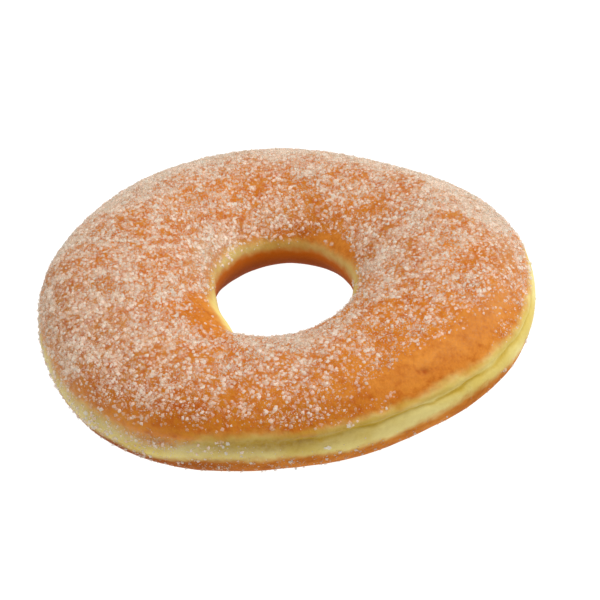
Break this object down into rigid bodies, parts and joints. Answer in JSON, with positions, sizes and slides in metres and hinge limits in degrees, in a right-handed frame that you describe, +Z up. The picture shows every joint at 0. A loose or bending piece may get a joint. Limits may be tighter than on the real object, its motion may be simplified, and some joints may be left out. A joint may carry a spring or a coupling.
{
  "type": "ring doughnut",
  "caption": "Sugared ring doughnut: an uneven fried ring with a flat underside, a creased pale band round its side and sugar crystals on its crust.",
  "frame": {"origin": "middle of the ring's box, on the surface that its flat underside rests on", "axes": "+Z up through the hole, -Y towards the side that faces the viewer in the picture, +X to that viewer's right"},
  "size_m": [0.1005, 0.09, 0.026],
  "materials": {
    "sugared_crust": "golden fried crust, satin where bare, under a rough coat of granulated sugar; pale yellow band round the side"
  },
  "bodies": {
    "root": {"doughnut": "sugared_crust"}
  },
  "joints": []
}
